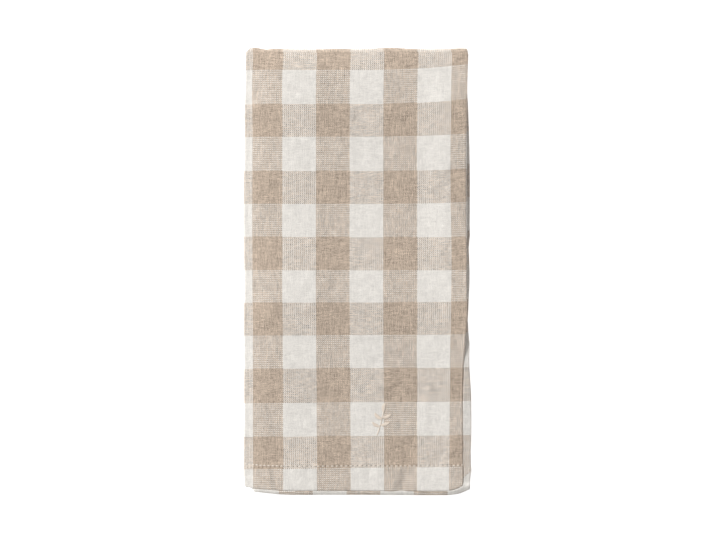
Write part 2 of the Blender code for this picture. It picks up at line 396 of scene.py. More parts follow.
grid = {"free": 11, "top": 104, "under": 14, "outerFold": 12, "innerFold": 6, "rightFold": 8,
        "frontRows": 148, "nose": 16, "backRows": 34}
closerEnds = 0.3                 # how much closer an inner panel's steps stand at its ends
noHem = 99.0                     # the inset of a place that is in no side hem

# The gingham, counted in checks: every second check across and along is beige.
gingham = {
    "across": 16.85,
    "along": 16.64,
    "firstX": -37.5,             # where the first beige column ends
    "firstDown": 209.65,         # where the first beige row begins above the hem
    "narrowLeft": 0.11,          # the first column is drawn in towards the rolled left edge
    "narrowWide": 15.0,
    "endHemCheck": -0.14,        # how far the checks shift on the far end hem's turned cloth
    "lastCheck": 25.74,          # the far hem's edge
    "lastDown": 222.65,
    "warp": [                    # how far the warp wanders to the right, in millimetres
        dict(down=0, left=0.40, middle=0.40, right=0.50),
        dict(down=20, left=-0.15, middle=-0.05, right=0.10),
        dict(down=45, left=0.00, middle=-0.15, right=-0.20),
        dict(down=70, left=-0.10, middle=-0.10, right=-0.25),
        dict(down=95, left=-0.10, middle=-0.20, right=0.20),
        dict(down=120, left=0.00, middle=-0.20, right=0.20),
        dict(down=150, left=0.25, middle=-0.10, right=-0.40),
        dict(down=185, left=0.30, middle=0.25, right=-0.75),
        dict(down=215, left=0.40, middle=0.40, right=-1.15),
    ],
    "weft": [                    # and how far the weft sags
        dict(down=0, left=0.50, middle=0.55, right=-1.60),
        dict(down=10, left=0.60, middle=0.60, right=-1.45),
        dict(down=27, left=1.15, middle=1.00, right=-0.75),
        dict(down=43, left=0.80, middle=0.65, right=-0.45),
        dict(down=60, left=1.20, middle=1.20, right=0.40),
        dict(down=77, left=0.95, middle=1.00, right=0.30),
        dict(down=93, left=0.70, middle=1.00, right=0.90),
        dict(down=110, left=0.85, middle=0.90, right=0.85),
        dict(down=127, left=0.40, middle=0.30, right=-0.10),
        dict(down=160, left=0.20, middle=-0.25, right=-0.30),
        dict(down=177, left=0.75, middle=0.25, right=0.00),
        dict(down=193, left=0.90, middle=0.50, right=0.20),
        dict(down=210, left=0.40, middle=-0.35, right=-0.80),
    ],
    "wanderHalf": 48.0,          # left and right are this far from the middle
    "wanderLimit": 1.15,         # past them it stops growing, at this share
    "rightBend": 2.2,            # the wander bends away more on the right
}

Sample = namedtuple("Sample", "x level faceX faceLevel across inset along")
Station = namedtuple("Station", "edges share turn toHem")


def edgesAt(rows, down):
    return {name: readRows(rows, "down", name, down) for name in ("left", "right", "hemD", "hemA")}


def hemToNose(half, steps, rows, turn):  # one half's stations, from its hem up to the top fold
    length = cloth["hemDown"] - noseDown
    toHems = list(steps)
    toHems += [mix(steps[-1], length, (step + 1) / rows) for step in range(rows - 1)]
    stations = []
    for toHem in toHems:
        share = 1.0 - toHem / length
        edges = edgesAt(cloth[half], mix(noseDown, cloth["hemDown"], share))
        stations.append(Station(edges, share, turn, toHem))
    return stations


def makeStations():
    front = hemToNose("front", endSteps, grid["frontRows"], 0.0)
    back = hemToNose("back", backSteps, grid["backRows"], math.pi)
    nose = []
    frontEdges = edgesAt(cloth["front"], noseDown)
    backEdges = edgesAt(cloth["back"], noseDown)
    for step in range(grid["nose"] + 1):
        turn = math.pi * step / grid["nose"]
        edges = {name: mix(frontEdges[name], backEdges[name], step / grid["nose"]) for name in frontEdges}
        edges["left"] += cloth["tuckLeft"] * (1.0 - abs(math.cos(turn)))
        for name in ("right", "hemD", "hemA"):
            edges[name] -= cloth["tuckRight"] * (1.0 - abs(math.cos(turn)))
        nose.append(Station(edges, 0.0, turn, cloth["hemDown"] - noseDown))
    return front + nose + back[::-1]


def freePanel(freeEdge, foldEdge, level, nearHem, nearFold):  # a layer with a side hem, from its free edge
    reach = freeEdge - foldEdge
    insets = list(nearHem)
    last = reach - nearFold[0]
    insets += [mix(nearHem[-1], last, (step + 1) / grid["free"]) for step in range(grid["free"] - 1)]
    insets += [reach - step for step in nearFold]
    return [(freeEdge - inset, level, 0.0, 1.0 - inset / reach, inset) for inset in insets]


def innerPanel(start, end, level, steps):  # a layer between two folds, with closer steps at its ends
    points = []
    for step in range(steps):
        share = step / steps
        share -= closerEnds * math.sin(2 * math.pi * share) / (2 * math.pi)
        points.append((mix(start, end, share), level, 0.0, share if end > start else 1.0 - share, noHem))
    return points


def foldTurn(axis, level, radius, side, climb, steps):  # side 1 bulges right, climb 1 goes up
    points = []
    for step in range(steps):
        angle = climb * math.pi * (step / steps - 0.5)
        out = side * cloth["sideSquash"] * math.cos(angle)
        points.append((axis + radius * out, level + radius * math.sin(angle), out, max(side, 0), noHem))
    return points


def makeSection(edges):
    # From A's side hem round the left fold, over B, the right fold, C and the inner fold to D's side hem.
    left = edges["left"] + (outerFold + cloth["solidSheet"] / 2) * cloth["sideSquash"]
    right = edges["right"] - (innerFold + cloth["solidSheet"] / 2) * cloth["sideSquash"]
    leftLevel = (levelA + levelB) / 2
    rightLevel = (levelB + levelC) / 2
    topPanel = innerPanel(left, right, levelB, grid["top"])
    lastPanel = [(left, levelD, 0.0, 0.0, edges["hemD"] - left)]
    lastPanel += freePanel(edges["hemD"], left, levelD, sideSteps, foldSteps)[::-1]
    runs = [
        (freePanel(edges["hemA"], left, levelA, hiddenSteps, hiddenFoldSteps), -1, None),
        (foldTurn(left, leftLevel, outerFold, -1, 1, grid["outerFold"]), 1, leftLevel),
        (topPanel, 1, None),
        (foldTurn(right, rightLevel, innerFold, 1, -1, grid["rightFold"]), 1, rightLevel),
        (innerPanel(right, left, levelC, grid["under"]), -1, None),
        (foldTurn(left, leftLevel, innerFold, -1, -1, grid["innerFold"]), -1, leftLevel),
        (lastPanel, 1, None),
    ]
    samples = []
    along = 0.0
    topStart = None
    for points, face, middle in runs:
        for x, level, out, across, inset in points:
            if samples:
                along += math.hypot(x - samples[-1].x, level - samples[-1].level)
            if middle is None:
                faceX, faceLevel = 0.0, float(face)
            else:
                radius = outerFold if face > 0 and middle == leftLevel else innerFold
                faceX, faceLevel = face * out, face * (level - middle) / radius
            if points is topPanel and topStart is None:
                topStart = along
            samples.append(Sample(x, level, faceX, faceLevel, across, inset, along))
    return samples, topStart - left


def softStroke(stroke, x, down):  # a rise along a bent line, faded at its ends
    turn = math.radians(stroke["turn"])
    right = x - stroke["x"]
    below = down - stroke["down"]
    along = (right * math.cos(turn) - below * math.sin(turn)) / (stroke["long"] / 2)
    aside = right * math.sin(turn) + below * math.cos(turn) - stroke["bend"] * along * along
    aside /= stroke["wide"] / 2
    if abs(along) > 2.0 or abs(aside) > 3.0:            # too far off to rise at all
        return 0.0
    return stroke["high"] * math.exp(-along ** 4 - aside * aside)


def hemRise(toHem):  # the turned cloth stands up under the face, and the stitching pulls it down
    wide = cloth["hemSwellWide"]
    swell = cloth["hemSwell"] * ease((cloth["hemWide"] + wide / 2 - toHem) / wide)
    fromLine = (toHem - cloth["stitchLine"]) / cloth["stitchSinkWide"]
    return swell - cloth["stitchSink"] * math.exp(-fromLine ** 2)


def topRise(x, down, toHem, edges):  # how far the front half's top surface stands up, in millimetres
    share = (x - edges["left"]) / (edges["right"] - edges["left"])
    inset = min(x - edges["left"], edges["right"] - x)
    rise = readRows(cloth["across"], "share", "rise", share) * ease(down / cloth["topFade"])
    rise += readRows(cloth["along"], "down", "rise", down) * ease((x - edges["left"]) / cloth["sideFade"])
    rim = ease(min(inset, down) / cloth["rim"])
    for crease in cloth["creases"]:
        rise += softStroke(crease, x, down) * rim
    fromRight = edges["right"] - x
    rise -= readRows(cloth["rightEdge"], "down", "drop", down) * (1.0 - ease(fromRight / cloth["sagWide"]))
    ridge = readRows(cloth["rightEdge"], "down", "ridge", down)
    rise += ridge * math.exp(-((fromRight - cloth["ridgeIn"]) / cloth["ridgeWide"]) ** 2)
    rise -= cloth["pressDeep"] * math.exp(-((down - noseDown - cloth["pressIn"]) / cloth["pressWide"]) ** 2)
    for crinkle in cloth["crinkles"]:
        place = Vector((x / crinkle["wide"], down / crinkle["wide"], crinkle["seed"]))
        rise += crinkle["high"] * rim * noise.noise(place)
    return rise + hemRise(toHem)


def thicknessAt(toHem, inset):
    near = min(toHem, inset)
    fromStep = (near - cloth["hemWide"] + cloth["hemStepIn"]) / cloth["hemStep"]
    thick = mix(cloth["hemThick"], cloth["thick"], ease(fromStep))
    fromEdge = min(max(near / cloth["edgeWide"], 0.0), 1.0)
    return thick * mix(cloth["edgeThick"], 1.0, math.sqrt(1.0 - (1.0 - fromEdge) ** 2))


def downAt(sample, station):
    column = "front" if station.turn < math.pi / 2 else "back"
    reach = readRows(cloth["reach"], "level", column, sample.level)
    draw = readRows(cloth["draw"], "across", column, sample.across)
    draw += cloth["foldDraw"] * sample.faceX ** 2
    draw *= ease(1.0 - station.toHem / cloth["drawFade"]) ** (1.0 + cloth["drawRight"] * sample.across)
    return mix(noseDown, cloth["hemDown"] + reach, station.share) - draw


def springRise(x, down):  # how far the lowest hem stands up beside and past the top layer
    edges = edgesAt(cloth["front"], down)
    left, right = edges["left"], edges["right"]
    share = min(max((x - left) / (right - left), 0.0), 1.0)
    hemEdge = cloth["hemDown"] - readRows(cloth["draw"], "across", "front", share)
    beside = readRows(cloth["spring"], "down", "up", down) * ease((x - right) / cloth["springWide"] + 1.0)
    past = ease((down - hemEdge) / cloth["endWide"] + 1.0)
    past *= ease((x - left - cloth["endStart"]) / cloth["endStartWide"])
    if beside == 0.0 and past == 0.0:
        return 0.0
    rim = cloth["rim"]
    top = topRise(min(x, right - rim), min(down, hemEdge - rim), max(hemEdge - down, rim), edges)
    endBelow = cloth["endBelow"] + cloth["endSlope"] * max(down - hemEdge, 0.0)
    fade = cloth["slopeFade"]
    sideBelow = cloth["springBelow"]
    sideBelow += cloth["springSlope"] * fade * (1.0 - math.exp(min(right - x, 0.0) / fade))
    top += levelB + levelD - mix(sideBelow, endBelow, past)
    return top * (1.0 - (1.0 - beside) * (1.0 - past))


def placeCorner(sample, side, station, down, lift):  # on the cloth's face, side 1, or its back, side -1
    half = side * thicknessAt(station.toHem, sample.inset) / 2
    x = sample.x
    spring = slopeX = slopeY = 0.0
    if station.turn == math.pi and sample.level == levelD:
        nudge = 0.1
        spring = springRise(x, down)
        slopeX = (springRise(x + nudge, down) - spring) / nudge
        slopeY = (springRise(x, down + nudge) - spring) / nudge
    steep = math.hypot(1.0, slopeX, slopeY)
    x += half * (sample.faceX + sample.faceLevel * slopeX / steep)
    level = sample.level + half * sample.faceLevel / steep
    out = readRows(cloth["topEdge"], "x", "out", x) if 0.0 < station.turn < math.pi else 0.0
    y = -down + (level * cloth["noseSquash"] + out) * math.sin(station.turn)
    y -= half * sample.faceLevel * slopeY / steep
    z = halfHeight + level * lift * math.cos(station.turn) + spring
    return ((x + shiftX) * mm, (topY + y) * mm, z * mm)


def wander(rows, sample, down):  # from the middle to the left and right columns
    left, middle, right = (readRows(rows, "down", name, down) for name in ("left", "middle", "right"))
    limit = gingham["wanderLimit"]
    place = min(max(sample.x / gingham["wanderHalf"], -limit), limit)
    if place < 0.0:
        return mix(middle, left, -place)
    return mix(middle, right, place ** gingham["rightBend"])


def checksAcross(sample, offset, station, down):
    checks = 1.0 + (sample.along - offset - gingham["firstX"]) / gingham["across"]
    drawn = max(0.0, (gingham["firstX"] - sample.x) / gingham["narrowWide"])
    if sample.across == 0.0 or sample.level == levelB:
        checks -= gingham["narrowLeft"] * drawn * drawn
    if station.turn == 0.0:
        checks -= wander(gingham["warp"], sample, down) / gingham["across"]
    return checks


def checksAlong(sample, station, down):
    sag = wander(gingham["weft"], sample, down) / gingham["along"]
    noseCheck = (gingham["firstDown"] - noseDown) / gingham["along"]
    squash = cloth["noseSquash"]
    arc = math.pi * sample.level * math.sqrt((1 + squash * squash) / 2) / gingham["along"]
    if station.turn == 0.0:
        return (gingham["firstDown"] - down) / gingham["along"] + sag
    if station.turn < math.pi:
        return noseCheck + sag + arc * station.turn / math.pi
    share = (down - noseDown) / (gingham["lastDown"] - noseDown)
    return mix(noseCheck + arc + (1 - share) * sag, gingham["lastCheck"], share)


def layCloth():
    stations = makeStations()
    corners = []
    weave = []
    for station in stations:
        samples, offset = makeSection(station.edges)
        faceRow, backRow, weaveRow = [], [], []
        for sample in samples:
            down = downAt(sample, station)
            lift = 1.0
            if station.turn < math.pi / 2:
                rise = topRise(sample.x, down, station.toHem, station.edges) * math.cos(station.turn) ** 2
                lift += rise / halfHeight
            faceRow.append(placeCorner(sample, 1, station, down, lift))
            backRow.append(placeCorner(sample, -1, station, down, lift))
            weaveRow.append((checksAcross(sample, offset, station, down), checksAlong(sample, station, down)))
        corners.append((faceRow, backRow))
        weave.append(weaveRow)
    return stations, samples, corners, weave


def meshCloth(stations, samples, corners, weave):
    rows, columns = len(corners), len(corners[0][0])
    points = []
    for faceRow, backRow in corners:
        points += faceRow
        points += backRow

    def corner(row, side, column):
        return (row * 2 + side) * columns + column

    faces, spots = [], []

    def addFace(rowColumns, sides, turned):
        faces.append([corner(row, side, column) for (row, column), side in zip(rowColumns, sides)])
        spots.extend(turned(*weave[row][column]) for row, column in rowColumns)

    lastRow, lastColumn = rows - 1, columns - 1
    for row in range(lastRow):
        for column in range(lastColumn):
            quad = [(row, column), (row, column + 1), (row + 1, column + 1), (row + 1, column)]
            addFace(quad, (0, 0, 0, 0), lambda u, v: (u, v))
            addFace(quad[::-1], (1, 1, 1, 1), turnedHem(stations, samples, weave, row, column))
    for column in range(lastColumn):
        for row, flip in ((0, -1), (lastRow, 1)):
            rim = [(row, column), (row, column + 1), (row, column + 1), (row, column)]
            addFace(rim[::flip], (0, 0, 1, 1)[::flip], lambda u, v: (u, v))
    for row in range(lastRow):
        for column, flip in ((0, 1), (lastColumn, -1)):
            rim = [(row, column), (row + 1, column), (row + 1, column), (row, column)]
            addFace(rim[::flip], (0, 0, 1, 1)[::flip], lambda u, v: (u, v))
    mesh = bpy.data.meshes.new("folded_cloth")
    mesh.from_pydata(points, [], faces)
    layer = mesh.uv_layers.new(name="weave")
    layer.data.foreach_set("uv", [number for spot in spots for number in spot])
    mesh.shade_smooth()
    mesh.validate()
    return mesh


def turnedHem(stations, samples, weave, row, column):
    # On the back a hem shows the cloth from past its edge. The end hem is sewn over the side hem.
    lastRow, lastColumn = len(stations) - 1, len(samples) - 1
    turned = cloth["hemWide"] - 0.1
    if min(stations[row].toHem, stations[row + 1].toHem) < turned:
        endEdge = 0 if row < len(stations) / 2 else lastRow
        edgeV = weave[endEdge][column][1] + (gingham["endHemCheck"] / 2 if endEdge == lastRow else 0.0)
        return lambda u, v: (u, 2 * edgeV - v)
    if min(samples[column].inset, samples[column + 1].inset) < turned:
        edgeU = weave[row][0 if column < len(samples) / 2 else lastColumn][0]
        return lambda u, v: (2 * edgeU - u, v)
    return lambda u, v: (u, v)


# The woven cotton

weaving = {
    "threads": 34,               # threads in one check
    "white": (0.800, 0.765, 0.715, 1.0),
    "beige": (0.500, 0.402, 0.318, 1.0),
    "wide": 0.60,                # share of the pitch that a thread covers
    "warpMore": 0.08,            # the warp covers more than the weft
    "beigeMore": 0.10,           # and the beige yarn more than the white
    "beigeTone": 1.45,           # how much a yarn's tone changes from thread to thread and along it
    "whiteTone": 0.40,
    "beigeThick": 0.30,          # and its width
    "whiteThick": 0.75,
    "speck": 0.22,
    "warpPairs": 0.188,          # every second white thread lies broader
    "weftPairs": 0.176,
    "pairTone": 0.045,
    "warpTone": 0.98,            # the weft's tone changes more than the warp's
    "weftTone": 1.4,
    "slubStep": 7.31,            # how unlike two threads side by side are, and how long a slub is
    "slubLong": 0.11,
    "gapFrom": 0.8,              # the gaps between threads begin this far out from their middles
    "holeShade": 0.25,
    "mottle": 0.18,
    "mottleFine": 260.0,
    "bump": 0.00008,
    "crinkle": 0.00025,
    "crinkleFine": 380.0,
    "rough": 0.95,
    "shine": 0.25,
    "sheen": 0.12,
    "sheenRough": 0.6,
    "stitchHole": 0.24,          # half width of a needle hole's painted shade, in millimetres; the next value is how dark that painted shade is
    "needleHoleShade": 0.60,
}


def wovenCotton():
    material, sheet, shader = newMaterial("woven_cotton")
    uv = sheet.node("ShaderNodeUVMap", {"uv_map": "weave"})
    u = sheet.node("ShaderNodeSeparateXYZ", None, {0: uv}, 0)
    v = sheet.node("ShaderNodeSeparateXYZ", None, {0: uv}, 1)
    warp = u * weaving["threads"]
    weft = v * weaving["threads"]
    warpNumber = math.floor(warp)
    weftNumber = math.floor(weft)
    warpAside = abs(warp - warpNumber - 0.5) * 2.0      # 0 on a thread's middle, 1 at its edge
    weftAside = abs(weft - weftNumber - 0.5) * 2.0
    warpBeige = 1.0 - math.floor(u) % 2.0
    weftBeige = 1.0 - math.floor(v) % 2.0
    warpOver = (warpNumber + weftNumber) % 2.0

    def yarn(number, position, beige, seed, strong, pairs):  # its colour, and how much wider it is there
        inputs = {0: number * weaving["slubStep"], 1: position * weaving["slubLong"], 2: seed}
        place = sheet.node("ShaderNodeCombineXYZ", None, inputs)
        slub = sheet.node("ShaderNodeTexNoise", None, {"Vector": place, "Scale": 1.0, "Detail": 2.0}) - 0.5
        crossing = sheet.node("ShaderNodeCombineXYZ", None, {0: number, 1: math.floor(position), 2: seed})
        speck = sheet.node("ShaderNodeTexWhiteNoise", None, {"Vector": crossing}) - 0.5
        uneven = beige * (weaving["beigeTone"] - weaving["whiteTone"]) + weaving["whiteTone"]
        pair = number % 2.0 - 0.5
        value = 1.0 + strong * uneven * (slub + speck * weaving["speck"])
        value = value + pair * (2 * weaving["pairTone"]) * beige
        colour = sheet.pick(beige, weaving["white"], weaving["beige"])
        colour = sheet.node("ShaderNodeHueSaturation", None, {"Color": colour, "Value": value})
        thick = beige * (weaving["beigeThick"] - weaving["whiteThick"]) + weaving["whiteThick"]
        broad = pair * (1.0 - beige) * (2 * pairs)
        return colour, slub * thick + beige * (2 * weaving["beigeMore"]) - weaving["beigeMore"], broad

    warpColour, warpThick, warpBroad = yarn(
        warpNumber, weft, warpBeige, 3.7, weaving["warpTone"], weaving["warpPairs"])
    weftColour, weftThick, weftBroad = yarn(
        weftNumber, warp, weftBeige, 9.1, weaving["weftTone"], weaving["weftPairs"])
    warpWide = warpThick + (weaving["wide"] + weaving["warpMore"]) + warpBroad - weftBroad
    weftWide = weftThick + (weaving["wide"] - weaving["warpMore"]) + weftBroad - warpBroad
    warpShows = warpOver * (warpAside < warpWide) + (1.0 - warpOver) * (weftAside > weftWide)
    colour = sheet.pick(warpShows, weftColour, warpColour)

    # Painted shade in the needle holes, between the stitches of the end hem.
    alongHem = (u * gingham["across"] / thread["spacing"]) % 1.0
    fromLine = abs(v - thread["lineCheck"]) * gingham["along"]
    half = weaving["stitchHole"]
    pierced = (abs(alongHem - 0.5) < half / thread["spacing"]) * (fromLine < half)
    gap = (warpAside > weaving["gapFrom"]) * (weftAside > weaving["gapFrom"])
    coords = sheet.node("ShaderNodeTexCoord", output=3)
    inputs = {"Vector": coords, "Scale": weaving["mottleFine"], "Detail": 3.0}
    mottled = 1.0 - weaving["mottle"] / 2 + sheet.node("ShaderNodeTexNoise", None, inputs) * weaving["mottle"]
    # painted shade in the gaps between threads and in the needle holes, times a blotchy mottle
    shade = (1.0 - gap * weaving["holeShade"]) * mottled * (1.0 - pierced * weaving["needleHoleShade"])
    colour = sheet.node("ShaderNodeHueSaturation", None, {"Color": colour, "Value": shade})
    sheet.tree.links.new(colour.socket, shader.inputs["Base Color"])

    rounded = warpShows * (1.0 - warpAside * warpAside) + (1.0 - warpShows) * (1.0 - weftAside * weftAside)
    inputs = {"Vector": coords, "Scale": weaving["crinkleFine"], "Detail": 4.0}
    wrinkle = sheet.node("ShaderNodeTexNoise", None, inputs)
    inputs = {"Height": rounded, "Distance": weaving["bump"], "Strength": 1.0}
    fine = sheet.node("ShaderNodeBump", None, inputs)
    inputs = {"Height": wrinkle, "Distance": weaving["crinkle"], "Strength": 1.0, "Normal": fine}
    bump = sheet.node("ShaderNodeBump", None, inputs)
    sheet.tree.links.new(bump.socket, shader.inputs["Normal"])
    shader.inputs["Roughness"].default_value = weaving["rough"]
    shader.inputs["Specular IOR Level"].default_value = weaving["shine"]
    shader.inputs["Sheen Weight"].default_value = weaving["sheen"]
    shader.inputs["Sheen Roughness"].default_value = weaving["sheenRough"]
    return material


# Sewing thread, used for the hems and for the small leaf sprig

thread = {
    "spacing": 2.3,
    "lineCheck": (gingham["firstDown"] - cloth["hemDown"] + cloth["stitchLine"]) / gingham["along"],
    "long": 1.35,
    "wide": 0.50,
    "high": 0.34,
    "uneven": 0.10,
    "colour": (0.84, 0.775, 0.690, 1.0),
    "sprigColour": (0.76, 0.660, 0.560, 1.0),
    "proud": 0.2,                # a stitch is lifted by this share of its height
    "underInset": 7.0,           # the lowest hem's stitching is laid this far in from its side edge
    "ply": 5200.0,
    "plyTone": 0.12,
    "plyBump": 0.00005,
    "stain": 600.0,
    "stainTone": 0.08,
    "rough": 0.6,
    "sheen": 0.2,
}

stations, samples, corners, weave = layCloth()
clothMesh = meshCloth(stations, samples, corners, weave)
clothMesh.materials.append(wovenCotton())
clothPiece = addObject("folded_cloth", clothMesh)
surface = BVHTree.FromPolygons([corner.co for corner in clothMesh.vertices],
                               [face.vertices for face in clothMesh.polygons])
print("cloth laid:", len(clothMesh.polygons), "faces")


def stitchTree():  # one bar of thread on each point of the paths
    tree = bpy.data.node_groups.new("laid_stitches", "GeometryNodeTree")
    sheet = NodeSheet(tree)
    tree.interface.new_socket("Paths", in_out="INPUT", socket_type="NodeSocketGeometry")
    for name in ("Long", "Wide", "High", "Turn", "Taper", "Uneven"):
        tree.interface.new_socket(name, in_out="INPUT", socket_type="NodeSocketFloat")
    tree.interface.new_socket("Seed", in_out="INPUT", socket_type="NodeSocketInt")
    tree.interface.new_socket("Thread", in_out="INPUT", socket_type="NodeSocketMaterial")
    tree.interface.new_socket("Stitches", in_out="OUTPUT", socket_type="NodeSocketGeometry")
    given = {socket.name: Signal(sheet, socket) for socket in tree.nodes.new("NodeGroupInput").outputs}

    def random(low, high, seed):
        settings = {"data_type": "FLOAT"}
        return sheet.node("FunctionNodeRandomValue", settings, {2: low, 3: high, 8: given["Seed"] + seed}, 1)

    curves = sheet.node("GeometryNodeMeshToCurve", None, {0: given["Paths"]})
    share = sheet.node("GeometryNodeSplineParameter")
    swell = sheet.maths("POWER", sheet.maths("SINE", share * math.pi), 0.75)
    narrowed = 1.0 - given["Taper"] * (1.0 - swell)
    long = given["Long"] * narrowed * (1.0 + random(-1.0, 1.0, 1) * given["Uneven"])
    wide = given["Wide"] * (1.0 + random(-1.0, 1.0, 2) * given["Uneven"])
    size = sheet.node("ShaderNodeCombineXYZ", None, {0: long, 1: wide, 2: given["High"]})
    tangent = sheet.node("GeometryNodeInputTangent")
    heading = sheet.node("FunctionNodeAlignRotationToVector", {"axis": "X"}, {"Vector": tangent})
    up = sheet.node("GeometryNodeInputNamedAttribute", {"data_type": "FLOAT_VECTOR"}, {"Name": "up"})
    settings = {"axis": "Z", "pivot_axis": "X"}
    heading = sheet.node("FunctionNodeAlignRotationToVector", settings, {"Rotation": heading, "Vector": up})
    angle = given["Turn"] + random(-0.5, 0.5, 3) * given["Uneven"]
    turned = sheet.node("ShaderNodeCombineXYZ", None, {2: angle})
    turned = sheet.node("FunctionNodeEulerToRotation", None, {0: turned})
    settings = {"rotation_space": "LOCAL"}
    heading = sheet.node("FunctionNodeRotateRotation", settings, {"Rotation": heading, "Rotate By": turned})
    bar = sheet.node("GeometryNodeMeshUVSphere", None, {"Segments": 8, "Rings": 6, "Radius": 0.5})
    inputs = {"Points": curves, "Instance": bar, "Rotation": heading, "Scale": size}
    stitches = sheet.node("GeometryNodeInstanceOnPoints", None, inputs)
    stitches = sheet.node("GeometryNodeRealizeInstances", None, {0: stitches})
    stitches = sheet.node("GeometryNodeSetShadeSmooth", None, {0: stitches})
    stitches = sheet.node("GeometryNodeSetMaterial", None, {0: stitches, "Material": given["Thread"]})
    tree.links.new(stitches.socket, tree.nodes.new("NodeGroupOutput").inputs[0])
    return tree


def spunThread(name, colour):
    material, sheet, shader = newMaterial(name)
    coords = sheet.node("ShaderNodeTexCoord", output=3)
    plies = sheet.node("ShaderNodeTexNoise", None, {"Vector": coords, "Scale": thread["ply"], "Detail": 1.0})
    stain = sheet.node("ShaderNodeTexNoise", None, {"Vector": coords, "Scale": thread["stain"]})
    middle = 1.0 - (thread["plyTone"] + thread["stainTone"]) / 2
    value = middle + plies * thread["plyTone"] + stain * thread["stainTone"]
    tinted = sheet.node("ShaderNodeHueSaturation", None, {"Color": colour, "Value": value})
    sheet.tree.links.new(tinted.socket, shader.inputs["Base Color"])
    inputs = {"Height": plies, "Distance": thread["plyBump"], "Strength": 1.0}
    bump = sheet.node("ShaderNodeBump", None, inputs)
    sheet.tree.links.new(bump.socket, shader.inputs["Normal"])
    shader.inputs["Roughness"].default_value = thread["rough"]
    shader.inputs["Sheen Weight"].default_value = thread["sheen"]
    return material


def layStitches(name, paths, sizes, material):  # paths are lists of places with the way up
    points, ups, edges = [], [], []
    for path in paths:
        edges += [(len(points) + step, len(points) + step + 1) for step in range(len(path) - 1)]
        points += [place for place, up in path]
        ups += [up for place, up in path]
    mesh = bpy.data.meshes.new(name)
    mesh.from_pydata(points, edges, [])
    attribute = mesh.attributes.new("up", "FLOAT_VECTOR", "POINT")
    attribute.data.foreach_set("vector", [number for up in ups for number in up])
    piece = addObject(name, mesh)
    modifier = piece.modifiers.new("stitches", "NODES")
    modifier.node_group = stitchNodes
    items = stitchNodes.interface.items_tree
    sockets = {item.name: item.identifier for item in items if item.in_out == "INPUT"}
    for key, value in dict(sizes, Thread=material).items():
        modifier[sockets[key]] = value
    graph = bpy.context.evaluated_depsgraph_get()
    laid = bpy.data.meshes.new_from_object(piece.evaluated_get(graph))
    piece.modifiers.remove(modifier)
    piece.data = laid
    bpy.data.meshes.remove(mesh)
    laid.name = name
    return piece


def hemPath(row, side, columns, outward):  # stitch places along a row of the cloth's corners
    path = []
    perCheck = gingham["across"] / thread["spacing"]
    for column, following in zip(columns, columns[1:]):
        first, last = weave[row][column][0], weave[row][following][0]
        low, high = sorted((first * perCheck, last * perCheck))
        for number in range(math.ceil(low), math.ceil(high)):
            share = (number / perCheck - first) / (last - first)
            place = Vector(corners[row][side][column]).lerp(Vector(corners[row][side][following]), share)
            near = Vector(corners[row][side][following]) - Vector(corners[row][side][column])
            ahead = Vector(corners[row + 1][side][column]) - Vector(corners[row][side][column])
            up = near.cross(ahead).normalized()
            if up.dot(outward) < 0:
                up = -up
            path.append((place + up * thread["high"] * thread["proud"] * mm, up))
    return path


def rowAt(half, toHem):
    rows = range(len(stations)) if half == "front" else range(len(stations) - 1, -1, -1)
    return next(row for row in rows if abs(stations[row].toHem - toHem) < 0.001)


stitchNodes = stitchTree()
hemThread = spunThread("hem_thread", thread["colour"])
topColumns = [column for column, sample in enumerate(samples)
              if sample.faceLevel > 0.25 and sample.level > levelC]
underColumns = [column for column, sample in enumerate(samples)
                if sample.level == levelD and sample.inset < thread["underInset"]]
up = Vector((0.0, 0.0, 1.0))
paths = [
    hemPath(rowAt("front", cloth["stitchLine"]), 0, topColumns, up),
    hemPath(rowAt("back", cloth["stitchLine"]), 0, topColumns, -up),
    hemPath(rowAt("back", cloth["stitchLine"]), 1, underColumns, up),
]
sizes = {"Long": thread["long"] * mm, "Wide": thread["wide"] * mm, "High": thread["high"] * mm,
         "Turn": 0.0, "Taper": 0.0, "Uneven": thread["uneven"], "Seed": 4}
hemPiece = layStitches("hem_stitches", paths, sizes, hemThread)
print("hem sewn:", sum(len(path) for path in paths), "stitches")

# A plain leaf sprig in satin stitch, in millimetres from its own middle, down and to the right

sprig = {
    "x": 12.0,
    "down": 185.4,
    "stem": [(-2.1, 7.4), (-0.6, 3.6), (0.2, -0.6), (1.0, -3.6)],
    "stemStitches": 14,
    "stemLong": 0.95,
    "stemWide": 0.62,
    "stemUneven": 0.12,
    "spacing": 0.40,
    "satinWide": 0.50,
    "satinUneven": 0.08,
    "high": 0.30,
    "lift": 0.08,
    "slant": 68.0,
    "leafBend": 0.5,
    "leaves": [
        dict(share=1.00, heading=-76, long=4.9, wide=2.5),
        dict(share=0.74, heading=-20, long=5.0, wide=2.3),
        dict(share=0.66, heading=-136, long=4.8, wide=2.3),
        dict(share=0.42, heading=-14, long=4.9, wide=2.2),
        dict(share=0.34, heading=-148, long=4.4, wide=2.1),
    ],
}


def onCloth(right, below):  # the place on the cloth straight below, a little lifted, and its way up
    above = 0.05
    start = Vector(((sprig["x"] + right + shiftX) * mm, (topY - sprig["down"] - below) * mm, above))
    place, normal = surface.ray_cast(start, Vector((0.0, 0.0, -1.0)))[:2]
    return place + normal * sprig["lift"] * mm, normal


def stemPlace(share):  # a smooth curve through four points
    a, b, c, d = (Vector(point) for point in sprig["stem"])
    rest = 1.0 - share
    return a * rest ** 3 + b * 3 * rest * rest * share + c * 3 * rest * share * share + d * share ** 3


